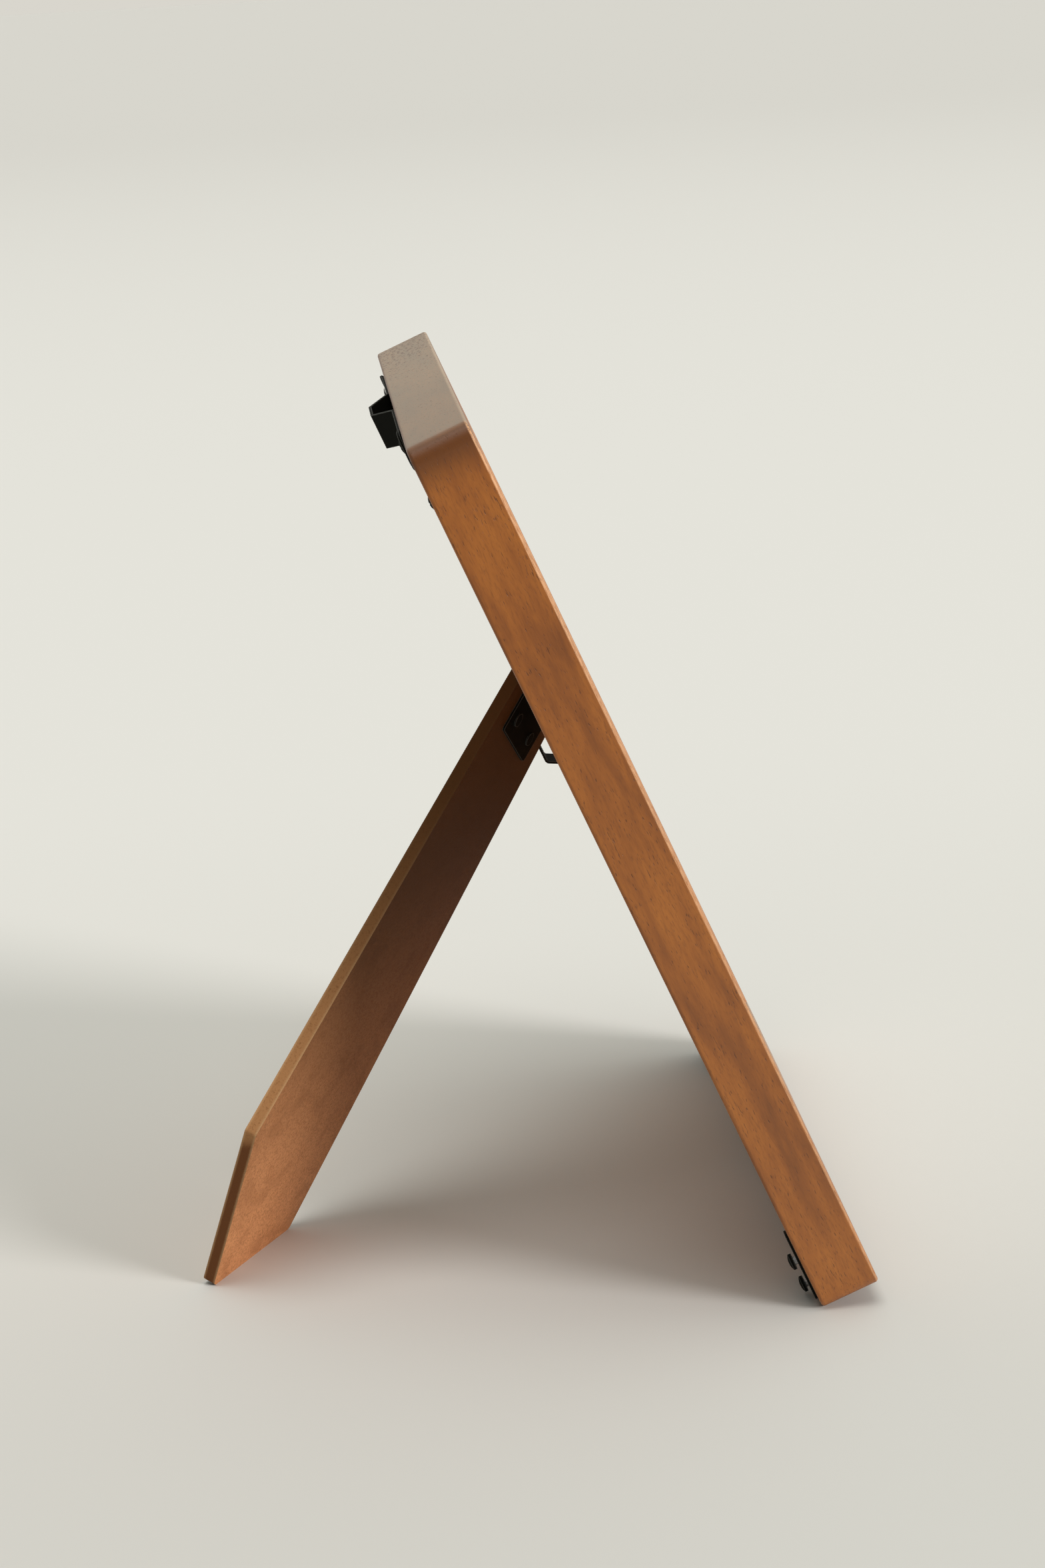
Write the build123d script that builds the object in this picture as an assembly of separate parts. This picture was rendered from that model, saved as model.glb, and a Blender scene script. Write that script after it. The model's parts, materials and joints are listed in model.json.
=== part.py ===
from build123d import *
from math import asin, cos, hypot, radians, sin
import os

os.makedirs("parts", exist_ok=True)

# All lengths are in mm and all angles in degrees. The pieces are drawn with the frame upright: X across,
# Y towards the back with 0 on the wood's back face, Z up from the bottom edge. Then all of it leans back.

# The picture and what lies behind the glass
print_width = 150.0
print_height = 200.0
print_thickness = 0.3
glass_thickness = 2.0
backing_thickness = 3.0
# Room round the glass, the print and the backing board in the rebate
fit_gap = 0.5
# How far the backing board's face lies below the wood's back face
board_recess = 2.5

# The moulding
rail_wall = 11.5
lip_overlap = 5.0
lip_thickness = 6.7
corner_radius = 4.0
front_edge_radius = 0.8
back_edge_radius = 0.8
sight_edge_radius = 1.0

# The stance, on the bottom edge and on the left edge
lean = 22.19
side_lean = 17.63
opening = 53.02

# The slanted hinge, placed from the frame's left and bottom edges
hinge_from_left = 95.9
hinge_from_bottom = 136.9
hinge_slant = 37.07
axis_height = 1.5
hinge_sheet = 0.65
leaf_width = 24.8
leaf_reach = 13.6
leaf_clear = 1.7
leaf_corner_radius = 1.0
knuckle_radius = 1.2
end_knuckle = 7.4
knuckle_gap = 0.3
pin_radius = 0.6
pin_overhang = 0.4
pin_chamfer = 0.15
running_gap = 0.05

# The leg
strut_thickness = 3.2
strut_offset = 1.5
strut_root_width = 38.1
strut_foot_length = 35.9
strut_side_foot_length = 44.9
strut_corner_radius = 1.5
# What is left between the leg's top edge and the fixed leaf when the leg is out
stop_gap = 0.15

# The rivets, two to a leaf
rivet_radius = 1.2
rivet_head_radius = 2.2
rivet_head_height = 0.7
rivet_tail_radius = 1.8
rivet_tail_height = 0.4
rivet_spacing = 14.5
rivet_reach = 8.6
rivet_sink = 0.6

# The strap hangers
strap_width = 8.8
strap_sheet = 0.65
strap_bend = 0.8
strap_length = 104.0
strap_end_radius = 2.5
strap_screw_inset = 9.0
strap_inset = 5.5
# The tips of the feet curl up from the wood
strap_tip_lift = 0.6
strap_tip_run = 6.0
strap_tip_bend = 20.0
# How far each crown stands off the wood, how long it is, and how far apart its walls meet the feet
top_standoff = 5.85
top_crown = 14.0
top_spread = 29.0
side_standoff = 7.1
side_crown = 17.4
side_spread = 24.4

# The corner plates, measured from the frame's outer edges
plate_inset = 2.4
plate_leg = 18.0
plate_width = 4.4
plate_thickness = 0.7
plate_end_radius = 1.2
plate_rail_screw = 8.8
plate_stile_screw = 13.0
# Room round an upper plate in its pocket
plate_gap = 0.15

# The screws
shank_radius = 1.0
shank_length = 8.5
point_length = 2.5
pan_radius = 1.95
pan_height = 1.3
low_pan_height = 1.2
flat_radius = 1.7
oval_height = 0.5
# How far the lower plates' screw heads stand off the plate
pan_standoff = 0.7
recess_width = 0.5
recess_length = 2.0
recess_depth = 0.5
rim_share = 0.6
# Room round a shank in the wood, and round a shank or a rivet in sheet or board
pilot_gap = 0.03
hole_gap = 0.1

# The V-nails
nail_inset = 2.2
nail_leg = 5.0
nail_sheet = 0.5
nail_depth = 7.0
nail_sink = 1.0

# The flexible points
point_width = 5.0
point_sheet = 0.4
point_in_wood = 7.0
point_over_board = 8.0
point_tip = 2.5
point_spread = 104.0

# How far a cutting shape runs past what it cuts
overrun = 1.0

# Sizes that follow from those above
rebate_width = print_width + 2 * fit_gap
rebate_height = print_height + 2 * fit_gap
rebate_depth = glass_thickness + print_thickness + backing_thickness + board_recess
frame_width = rebate_width + 2 * rail_wall
frame_height = rebate_height + 2 * rail_wall
frame_thickness = lip_thickness + rebate_depth
sight_width = rebate_width - 2 * lip_overlap
sight_height = rebate_height - 2 * lip_overlap
middle = frame_height / 2
left_edge = -frame_width / 2
hinge_x = left_edge + hinge_from_left
axis_y = axis_height - board_recess
slant = radians(hinge_slant)
swing = radians(opening)
plate_middle = plate_inset + plate_width / 2
strut_rise = (axis_height - hinge_sheet + strut_offset * cos(swing) - stop_gap) / sin(swing)
hinge_place = Pos(hinge_x, axis_y, hinge_from_bottom) * Rot(0, hinge_slant, 0)


def slab(sketch, low, high):
    """A flat piece: the sketch seen from the front, standing from low to high towards the back."""
    return extrude(Plane.XZ.offset(-low) * sketch, amount=low - high)


def post(x, z, radius, low, high):
    """A round bar from front to back."""
    return slab(Pos(x, z) * Circle(radius), low, high)


def barrel(radius, start, end):
    """A round bar along X."""
    return extrude(Plane.YZ.offset(start) * Circle(radius), amount=end - start)


def dome(radius, low, high):
    """The arc over a round head, from its rim to its crown."""
    rise = high - low
    ball = (radius**2 + rise**2) / (2 * rise)
    half = asin(radius / ball) / 2
    return ThreePointArc((radius, low), (ball * sin(half), high - ball + ball * cos(half)), (0, high))


def ring():
    """The whole moulding before the mitres are cut: lip, rebate, rounded corners and edges."""
    outer = slab(Pos(0, middle) * RectangleRounded(frame_width, frame_height, corner_radius), -frame_thickness, 0)
    outer = fillet(outer.edges().group_by(Axis.Y)[-1], back_edge_radius)
    outer = fillet(outer.edges().group_by(Axis.Y)[0], front_edge_radius)
    outer -= slab(Pos(0, middle) * Rectangle(sight_width, sight_height), -frame_thickness - overrun, overrun)
    front = outer.edges().group_by(Axis.Y)[0]
    reach = sight_width / 2 + sight_edge_radius
    rise = sight_height / 2 + sight_edge_radius
    sight = front.filter_by_position(Axis.X, -reach, reach)
    sight = sight.filter_by_position(Axis.Z, middle - rise, middle + rise)
    outer = fillet(sight, sight_edge_radius)
    return outer - slab(Pos(0, middle) * Rectangle(rebate_width, rebate_height), -rebate_depth, overrun)


def stile_wedge():
    """The room of the left stile between its two mitres."""
    far = rail_wall + lip_overlap + overrun
    points = [
        (left_edge - overrun, -overrun),
        (left_edge + far, far),
        (left_edge + far, frame_height - far),
        (left_edge - overrun, frame_height + overrun),
    ]
    return slab(Polygon(*points, align=None), -frame_thickness - overrun, overrun)


def rail_wedge():
    """The room of the bottom rail between its two mitres."""
    far = rail_wall + lip_overlap + overrun
    points = [
        (left_edge - overrun, -overrun),
        (-left_edge + overrun, -overrun),
        (-left_edge - far, far),
        (left_edge + far, far),
    ]
    return slab(Polygon(*points, align=None), -frame_thickness - overrun, overrun)


def upside_down(shape):
    """The shape turned half a turn in the plane of the frame."""
    return Pos(0, 0, frame_height) * Rot(0, 180, 0) * shape


def v_nail():
    """One V-nail across the bottom left mitre."""
    corner = left_edge + nail_inset
    points = [
        (corner, nail_inset),
        (corner + nail_leg, nail_inset),
        (corner + nail_leg, nail_inset + nail_sheet),
        (corner + nail_sheet, nail_inset + nail_sheet),
        (corner + nail_sheet, nail_inset + nail_leg),
        (corner, nail_inset + nail_leg),
    ]
    return slab(Polygon(*points, align=None), -nail_sink - nail_depth, -nail_sink)


def nail_slot():
    """The cut that the V-nail makes in the wood, open at the back."""
    corner = left_edge + nail_inset
    run = Pos(corner + nail_leg / 2, nail_inset + nail_sheet / 2) * Rectangle(nail_leg, nail_sheet)
    rise = Pos(corner + nail_sheet / 2, nail_inset + nail_leg / 2) * Rectangle(nail_sheet, nail_leg)
    return slab(run + rise, -nail_sink - nail_depth, overrun)


def mirrored(shape):
    """The shape on the other side of the frame."""
    return mirror(shape, about=Plane.YZ)


def four_corners(shape):
    """The shape at the bottom left, bottom right, top left and top right corners."""
    above = mirror(shape, about=Plane.XY.offset(middle))
    return [shape, mirrored(shape), above, mirrored(above)]


def flex_point():
    """One flat point on the left stile at mid-height, its sharp end in the wood."""
    wall = left_edge + rail_wall
    half = point_width / 2
    points = [
        (wall - point_in_wood, middle),
        (wall - point_in_wood + point_tip, middle - half),
        (wall + point_over_board, middle - half),
        (wall + point_over_board, middle + half),
        (wall - point_in_wood + point_tip, middle + half),
    ]
    return slab(Polygon(*points, align=None), -board_recess, point_sheet - board_recess)


def flex_points():
    """Two points on each stile and one on each rail."""
    low = Pos(0, 0, -point_spread / 2) * flex_point()
    high = Pos(0, 0, point_spread / 2) * flex_point()
    to_rail = Pos(0, 0, frame_width / 2) * Rot(0, -90, 0) * Pos(0, 0, -middle)
    bottom = to_rail * flex_point()
    return [low, high, mirrored(low), mirrored(high), bottom, upside_down(bottom)]


def pan_screw(height):
    """A round-headed screw along Y with the underside of its head at 0."""
    rim = rim_share * height
    edges = Polyline(
        (0, -shank_length),
        (shank_radius, point_length - shank_length),
        (shank_radius, 0),
        (pan_radius, 0),
        (pan_radius, rim),
    )
    edges += dome(pan_radius, rim, height)
    edges += Line((0, height), (0, -shank_length))
    return revolve(make_face(edges), axis=Axis.Y) - cross(height)


def flat_screw():
    """A countersunk screw along Y with the rim of its raised head at 0."""
    edges = Polyline(
        (0, -shank_length),
        (shank_radius, point_length - shank_length),
        (shank_radius, -plate_thickness),
        (flat_radius, 0),
    )
    edges += dome(flat_radius, 0, oval_height)
    edges += Line((0, oval_height), (0, -shank_length))
    return revolve(make_face(edges), axis=Axis.Y) - cross(oval_height)


def cross(top):
    """The cross recess in a screw's head."""
    arms = Rectangle(recess_length, recess_width) + Rectangle(recess_width, recess_length)
    return slab(arms, top - recess_depth, top + overrun)


def pilot(x, z, depth):
    """A screw's hole in the wood."""
    return post(x, z, shank_radius + pilot_gap, -depth - pilot_gap, overrun)


def strap(standoff, crown, spread):
    """A strap hanger along X: two feet with curled tips, two slanted walls and a flat crown off the wood."""
    rise = standoff - strap_sheet
    half = strap_length / 2
    under = FilletPolyline(
        (-half, strap_tip_lift),
        (strap_tip_run - half, 0),
        (-spread / 2, 0),
        (-crown / 2, rise),
        (crown / 2, rise),
        (spread / 2, 0),
        (half - strap_tip_run, 0),
        (half, strap_tip_lift),
        radius=[strap_tip_bend, strap_bend, strap_bend, strap_bend, strap_bend, strap_tip_bend],
    )
    section = make_face(offset(under, amount=strap_sheet, side=Side.LEFT))
    made = extrude(section, amount=strap_width / 2, both=True)
    outline = RectangleRounded(strap_length, strap_width, strap_end_radius)
    made &= slab(outline, -overrun, standoff + overrun)
    for side in (-1, 1):
        across = side * (half - strap_screw_inset)
        made -= post(across, 0, shank_radius + hole_gap, -overrun, strap_sheet + overrun)
    return made


def corner_shape(room):
    """The bottom left corner plate's outline, with room left all round it."""
    low = plate_inset - room
    inner = plate_inset + plate_width + room
    end = plate_inset + plate_leg + room
    places = [(low, low), (end, low), (end, inner), (inner, inner), (inner, end), (low, end)]
    return Polygon(*[(left_edge + x, z) for x, z in places], align=None)


def corner_plate():
    """The bottom left corner plate before its screw holes are cut."""
    made = slab(corner_shape(0), 0, plate_thickness)
    return fillet(made.edges().filter_by(Axis.Y), plate_end_radius)


def corner_pocket():
    """The room in the wood for a plate that lies flush, drawn at the bottom left."""
    return slab(corner_shape(plate_gap), -plate_thickness, overrun)


def plate_screw_places():
    """Where the bottom left plate's two screws go, in the rail and in the stile."""
    return [(left_edge + plate_rail_screw, plate_middle), (left_edge + plate_middle, plate_stile_screw)]


def pan_plate():
    """The bottom left plate with plain holes."""
    made = corner_plate()
    for x, z in plate_screw_places():
        made -= post(x, z, shank_radius + hole_gap, -overrun, plate_thickness + overrun)
    return made


def flat_plate():
    """The bottom left plate with countersunk holes."""
    made = corner_plate()
    edges = Polyline(
        (0, 0),
        (shank_radius + pilot_gap, 0),
        (flat_radius + pilot_gap, plate_thickness),
        (0, plate_thickness),
        close=True,
    )
    sink = revolve(make_face(edges), axis=Axis.Y)
    for x, z in plate_screw_places():
        made -= Pos(x, 0, z) * sink
    return made


def leaf(knuckles, low, side):
    """A hinge leaf with the hinge line along X at 0, above the line for side 1 and below it for side -1."""
    high = low + hinge_sheet
    sheet = Pos(0, side * (leaf_clear + leaf_reach) / 2) * Rectangle(leaf_width, leaf_reach - leaf_clear)
    made = slab(sheet, low, high)
    corners = made.edges().filter_by(Axis.Y).sort_by(Axis.Z)
    made = fillet(corners[-2:] if side > 0 else corners[:2], leaf_corner_radius)
    for start, end in knuckles:
        tongue = Pos((start + end) / 2, side * leaf_clear / 2) * Rectangle(end - start, leaf_clear)
        made += slab(tongue, low, high)
        made += barrel(knuckle_radius, start, end)
    made -= barrel(pin_radius + running_gap, -leaf_width, leaf_width)
    for place in rivet_places():
        made -= post(place, side * rivet_reach, rivet_radius + hole_gap, low - overrun, high + overrun)
    return made


def rivet_places():
    """Where a leaf's rivets go along the hinge line."""
    return [-rivet_spacing / 2, rivet_spacing / 2]


def rivet(tail_seat, head_seat):
    """A rivet along Y: a flat tail under tail_seat, a shank, and a domed head on head_seat."""
    edges = Polyline(
        (0, tail_seat - rivet_tail_height),
        (rivet_tail_radius, tail_seat - rivet_tail_height),
        (rivet_tail_radius, tail_seat),
        (rivet_radius, tail_seat),
        (rivet_radius, head_seat),
        (rivet_head_radius, head_seat),
    )
    edges += dome(rivet_head_radius, head_seat, head_seat + rivet_head_height)
    edges += Line((0, head_seat + rivet_head_height), (0, tail_seat - rivet_tail_height))
    return revolve(make_face(edges), axis=Axis.Y)


def backing_board():
    """The board with holes for the fixed leaf's rivets, sunk in front so the tails clear the print."""
    back = -board_recess
    made = slab(Pos(0, middle) * Rectangle(print_width, print_height), back - backing_thickness, back)
    low = -axis_height - backing_thickness
    for place in rivet_places():
        hole = post(place, rivet_reach, rivet_radius + hole_gap, low - overrun, overrun)
        sink = post(place, rivet_reach, rivet_tail_radius + hole_gap, low - overrun, low + rivet_sink)
        made -= hinge_place * (hole + sink)
    return made


def from_hinge(along, up):
    """A place in the plane of the shut leg, given along and up from the hinge line."""
    x = hinge_x + along * cos(slant) + up * sin(slant)
    z = hinge_from_bottom - along * sin(slant) + up * cos(slant)
    return x, z


def on_table(along, height, rise, fall, angle):
    """Where the open leg's inner face meets the table, drawn on the shut leg.

    height is the hinge's height up the frame from the edge that stands on the table. rise and fall are
    how that height goes up along the hinge line and down along the leg. angle is the frame's lean.
    """
    tilt = radians(angle)
    ground = back_edge_radius * (cos(tilt) + sin(tilt) - 1)
    top = (height + rise * along + strut_offset * fall * sin(swing)) * cos(tilt)
    top -= (axis_y + strut_offset * cos(swing)) * sin(tilt) + ground
    reach = top / (fall * cos(tilt) * cos(swing) + sin(tilt) * sin(swing))
    return from_hinge(along, -reach)


def crossing(a, b, c, d):
    """Where the line through a and b meets the line through c and d."""
    run = (b[0] - a[0], b[1] - a[1])
    other = (d[0] - c[0], d[1] - c[1])
    part = ((c[0] - a[0]) * other[1] - (c[1] - a[1]) * other[0]) / (run[0] * other[1] - run[1] * other[0])
    return a[0] + part * run[0], a[1] + part * run[1]


def towards(start, end, length):
    """The point at a length from start in the direction of end."""
    whole = hypot(end[0] - start[0], end[1] - start[1])
    return start[0] + (end[0] - start[0]) * length / whole, start[1] + (end[1] - start[1]) * length / whole


def strut():
    """The leg, shut: a slanted top edge on the hinge and one square foot for each way up."""
    half = strut_root_width / 2
    low = [on_table(along, hinge_from_bottom, -sin(slant), cos(slant), lean) for along in (-half, half)]
    side = [on_table(along, hinge_from_left, cos(slant), sin(slant), side_lean) for along in (half, -half)]
    tip = crossing(*low, *side)
    foot = towards(tip, (tip[0] + low[1][0] - low[0][0], tip[1] + low[1][1] - low[0][1]), strut_foot_length)
    kink = towards(tip, (tip[0] + side[1][0] - side[0][0], tip[1] + side[1][1] - side[0][1]), strut_side_foot_length)
    points = [tip, foot, from_hinge(half, strut_rise), from_hinge(-half, strut_rise), kink]
    outline = Polygon(*points, align=None)
    outline = fillet(outline.vertices(), strut_corner_radius)
    inner = axis_y + strut_offset
    made = slab(outline, inner, inner + strut_thickness)
    for place in rivet_places():
        hole = post(place, -rivet_reach, rivet_radius + hole_gap, -overrun, strut_offset + strut_thickness + overrun)
        made -= hinge_place * hole
    return made


# The wood, its fasteners and the screws
moulding = ring()
left_stile = moulding & stile_wedge()
right_stile = moulding & upside_down(stile_wedge())
bottom_rail = moulding & rail_wedge()
top_rail = moulding & upside_down(rail_wedge())
nails = four_corners(v_nail())
for slot in four_corners(nail_slot()):
    left_stile -= slot
    right_stile -= slot
    bottom_rail -= slot
    top_rail -= slot
points = flex_points()
for point in points:
    left_stile -= point
    right_stile -= point
    bottom_rail -= point
    top_rail -= point

hanger_screws = []
for side in (-1, 1):
    across = side * (strap_length / 2 - strap_screw_inset)
    top_rail -= pilot(across, frame_height - strap_inset, shank_length - strap_sheet)
    right_stile -= pilot(-left_edge - strap_inset, middle + across, shank_length - strap_sheet)
    hanger_screws.append(Pos(across, strap_sheet, frame_height - strap_inset) * pan_screw(low_pan_height))
    beside = Pos(-left_edge - strap_inset, strap_sheet, middle + across)
    hanger_screws.append(beside * pan_screw(low_pan_height))

pan_screws = []
flat_screws = []
plate_cuts = four_corners(corner_pocket())[2:]
for x, z in plate_screw_places():
    seat = plate_thickness + pan_standoff
    plate_cuts += four_corners(pilot(x, z, shank_length - seat))[:2]
    plate_cuts += four_corners(pilot(x, z, shank_length))[2:]
    pan = Pos(x, seat, z) * pan_screw(pan_height)
    pan_screws += [pan, mirrored(pan)]
    flat_screws += four_corners(Pos(x, 0, z) * flat_screw())[2:]
for cut in plate_cuts:
    left_stile -= cut
    right_stile -= cut
    bottom_rail -= cut
    top_rail -= cut

# The hinge and the leg
knuckle_end = leaf_width / 2
knuckle_start = knuckle_end - end_knuckle
middle_end = knuckle_start - knuckle_gap
fixed_knuckles = [(-knuckle_end, -knuckle_start), (knuckle_start, knuckle_end)]
fixed_leaf = leaf(fixed_knuckles, -axis_height, 1)
moving_leaf = leaf([(-middle_end, middle_end)], strut_offset - hinge_sheet, -1)
pin = barrel(pin_radius, -knuckle_end - pin_overhang, knuckle_end + pin_overhang)
pin = chamfer(pin.edges().filter_by(GeomType.CIRCLE), pin_chamfer)
fixed_rivet = rivet(rivet_sink - axis_height - backing_thickness, hinge_sheet - axis_height)
moving_rivet = rivet(strut_offset - hinge_sheet, strut_offset + strut_thickness)
fixed_rivets = [hinge_place * Pos(place, 0, rivet_reach) * fixed_rivet for place in rivet_places()]
moving_rivets = [hinge_place * Pos(place, 0, -rivet_reach) * moving_rivet for place in rivet_places()]

glass_back = glass_thickness - rebate_depth
sheet = Pos(0, middle) * Rectangle(print_width, print_height)
top_strap = strap(top_standoff, top_crown, top_spread)
side_strap = strap(side_standoff, side_crown, side_spread)
upper_plate = Pos(0, -plate_thickness, 0) * mirror(flat_plate(), about=Plane.XY.offset(middle))
on_frame = {
    "left_stile": [left_stile],
    "right_stile": [right_stile],
    "top_rail": [top_rail],
    "bottom_rail": [bottom_rail],
    "mitre_v_nails": nails,
    "glass_pane": [slab(sheet, -rebate_depth, glass_back)],
    "photo_print": [slab(sheet, glass_back, glass_back + print_thickness)],
    "backing_board": [backing_board()],
    "flex_points": points,
    "hinge_fixed_leaf": [hinge_place * fixed_leaf],
    "hinge_pin": [hinge_place * pin],
    "fixed_leaf_rivets": fixed_rivets,
    "top_hanger": [Pos(0, 0, frame_height - strap_inset) * top_strap],
    "side_hanger": [Pos(-left_edge - strap_inset, 0, middle) * Rot(0, 90, 0) * side_strap],
    "hanger_screws": hanger_screws,
    "lower_left_plate": [pan_plate()],
    "lower_right_plate": [mirrored(pan_plate())],
    "upper_left_plate": [upper_plate],
    "upper_right_plate": [mirrored(upper_plate)],
    "plate_pan_screws": pan_screws,
    "plate_flat_screws": flat_screws,
}
on_strut = {
    "easel_strut": [strut()],
    "hinge_moving_leaf": [hinge_place * moving_leaf],
    "moving_leaf_rivets": moving_rivets,
}

# The leg swings out, the frame leans back, and the origin goes under the middle of it all
swing_out = hinge_place * Rot(opening, 0, 0) * hinge_place.inverse()
lean_back = Rot(-lean, 0, 0)
standing = {name: [lean_back * shape for shape in shapes] for name, shapes in on_frame.items()}
for name, shapes in on_strut.items():
    standing[name] = [lean_back * swing_out * shape for shape in shapes]
solids = {name: [solid for shape in shapes for solid in shape.solids()] for name, shapes in standing.items()}
box = Compound([solid for group in solids.values() for solid in group]).bounding_box()
settle = Pos(0, -(box.min.Y + box.max.Y) / 2, -box.min.Z)
for name, group in solids.items():
    placed = [settle * solid for solid in group]
    export_step(placed[0] if len(placed) == 1 else Compound(placed), f"parts/{name}.step")

axis_place = settle * lean_back * hinge_place
print("hinge point", tuple(axis_place.position))
print("hinge line", tuple((settle * lean_back * hinge_place * Pos(leaf_width, 0, 0)).position - axis_place.position))
print("box", box.size)
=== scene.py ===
"""Finishes and studio for an easel back photo frame of oiled timber, hardboard, black metal and glass."""

import json
from math import atan2, cos, pi, radians, sin

import bmesh
import bpy
from bpy.props import FloatProperty, FloatVectorProperty, PointerProperty
from mathutils import Matrix, Vector

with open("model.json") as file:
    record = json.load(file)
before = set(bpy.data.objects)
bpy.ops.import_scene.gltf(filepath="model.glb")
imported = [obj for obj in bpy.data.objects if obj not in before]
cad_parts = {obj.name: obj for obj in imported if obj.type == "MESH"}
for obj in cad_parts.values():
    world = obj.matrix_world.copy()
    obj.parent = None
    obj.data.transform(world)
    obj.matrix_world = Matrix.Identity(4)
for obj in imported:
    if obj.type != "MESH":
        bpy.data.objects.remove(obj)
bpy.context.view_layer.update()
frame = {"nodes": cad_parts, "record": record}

bl_info = {
    "name": "Easel Photo Frame",
    "version": (1, 0, 0),
    "blender": (4, 5, 0),
    "location": "3D View > Sidebar > Photo Frame",
    "description": "Finishes an easel back photo frame and sets up its studio",
    "category": "Object",
}

MOUNTS = {mount["name"]: mount for mount in frame["record"]["mounts"]}
# The frame leans back by the angle at which its bottom edge is tilted from the table
EDGE_DOWN = Vector(MOUNTS["bottom_edge"]["axis"])
LEAN = atan2(-EDGE_DOWN.y, -EDGE_DOWN.z)
BACK = Vector(MOUNTS["top_hanger_crown"]["axis"])
MM = 0.001
# How far back the wood's back face lies, along BACK
WOOD_BACK = max(BACK.dot(vertex.co) for vertex in frame["nodes"]["left_stile"].data.vertices)
# How far up its slope and how far to each side the frame reaches
TOP = max(-EDGE_DOWN.dot(vertex.co) for vertex in frame["nodes"]["top_rail"].data.vertices)
SIDE = max(vertex.co.x for vertex in frame["nodes"]["right_stile"].data.vertices)

STILES = ("left_stile", "right_stile")
RAILS = ("top_rail", "bottom_rail")
BLACK_NODES = (
    "hinge_fixed_leaf",
    "hinge_moving_leaf",
    "fixed_leaf_rivets",
    "moving_leaf_rivets",
    "top_hanger",
    "side_hanger",
    "upper_left_plate",
    "upper_right_plate",
    "lower_left_plate",
    "lower_right_plate",
)
SCREW_NODES = ("hanger_screws", "plate_pan_screws", "plate_flat_screws")
STEEL_NODES = ("mitre_v_nails", "flex_points", "hinge_pin")

# The wood's noises, in blobs per metre, with the grain along Z
CLOUD_GRAIN = (150, 150, 32)
DRIFT_GRAIN = (520, 520, 80)
STREAK_GRAIN = (2600, 2600, 420)
DASH_GRAIN = (3400, 3400, 560)
PATCH_GRAIN = (260, 260, 90)
# How much of the clouds is broad, the rest being the finer drift
CLOUD_SHARE = 0.68
# How much a patch adds to the dashes that make pores
PATCH_SHARE = 0.22
# How deep the streaks are beside the pores
STREAK_DEPTH_SHARE = 0.5
# How far on in the tree each length of moulding starts after the one before
GRAIN_STEP = (0.31, 0.17, 0.23)
# Between which cloud values the wood goes from umber to brown, and on to golden
BROWN_SPAN = (0.22, 0.54)
GOLDEN_SPAN = (0.40, 0.76)
# Between which values a streak and a pore set in, and how dark they are
STREAK_SPAN = (0.46, 0.72)
STREAK_SHARE = 0.50
PORE_SPAN = (0.78, 0.85)
PORE_SHARE = 0.55
# How squarely a front edge looks to the front where its round starts and where it ends
ROUND_STARTS = (0.10, 0.45)
ROUND_ENDS = (0.86, 0.98)
# Between which streak values the painted highlight shows on the rounded front edges, and how much of it shows
# at the foot
HIGHLIGHT_SPAN = (0.20, 0.62)
FOOT_HIGHLIGHT_SHARE = 0.6
# How far below the top the painted shade of the rounded top corners starts, how far past the top it is full,
# and how ragged its limit is
CORNER_SHADE_DEPTH = 9 * MM
CORNER_SHADE_FADE = 1 * MM
CORNER_SHADE_RAGGED = 6 * MM
# How far in from the top's near end the painted corner shade reaches, and how dark the painted shade is
CORNER_SHADE_END = 7 * MM
CORNER_SHADE_SHARE = 0.9
# How squarely a face looks along the slope where it stops being a side
SIDE_SPAN = (0.85, 0.999)
# How far up a face looks that has the painted sheen, and the base that the streaks add to there
LEVEL_SPAN = (0.35, 0.93)
SHEEN_BASE = 0.5
# How far across the top the painted shade on its near part goes, from its middle, and how dark it is
NEAR_SHADE_REACH_SHARE = 0.6
NEAR_SHADE_SHARE = 0.22
# The pits in the top, in blobs per metre, and from where and how far they thicken towards the far side
PIT_GRAIN = (700, 1300, 1300)
PIT_START_SHARE = -0.2
PIT_THICKENING = 0.14
# Between which values a pit sets in, and how dark it is
PIT_SPAN = (0.65, 0.72)
PIT_SHARE = 0.6
# How much the streaks change the wood's roughness, and its specular level
TIMBER_SWING = 0.12
TIMBER_GLOSS = 0.3

# The hardboard's noises, in blobs per metre
FIBRE_GRAIN = (1700, 1700, 1700)
MOTTLE_GRAIN = (110, 110, 110)
# How deep the mottling is beside the fibres
MOTTLE_DEPTH_SHARE = 0.3
# Between which values the pressed face has flecks and mottling, and how dark they are
FLECK_SPAN = (0.40, 0.68)
FLECK_SHARE = 0.65
MOTTLE_SPAN = (0.45, 0.7)
MOTTLE_SHARE = 0.4
# Between which values the sawn edge has dark fibres, how dark they are, and how pale its fringe is
SAWN_SPAN = (0.50, 0.72)
SAWN_SHARE = 0.5
FRINGE_SHARE = 0.85
# A face that looks less squarely along the board's thickness than this is a sawn edge
SAWN_LOOK = 0.5
# How high the kink in the leg's near edge is, below which the edge is dark, and how ragged that limit is
FOOT_HEIGHT = 40 * MM
FOOT_RAGGED = 4 * MM
# Between which heights the painted shade darkens the leg's inner face and its sawn edge, and how far
SHADE_RISE = (0, 103 * MM)
EDGE_SHADE_RISE = (48 * MM, 118 * MM)
HINGE_SHADE_SHARE = 0.95
# How squarely a face looks inwards where it starts and where it is fully the inner one
INNER_SPAN = (0.5, 0.9)
# How much rougher the sawn edge is than the face, and the board's specular level
SAWN_ROUGHER = 0.3
BOARD_GLOSS = 0.2
# Each board, with how high its dark foot goes and how far the painted shade darkens it
BOARDS = (("easel_strut", FOOT_HEIGHT, HINGE_SHADE_SHARE), ("backing_board", 0.0, 0.0))

# How many rays look for an edge, and between which values it is worn
WEAR_SAMPLES = 6
WEAR_SPAN = (0.02, 0.22)
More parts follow.
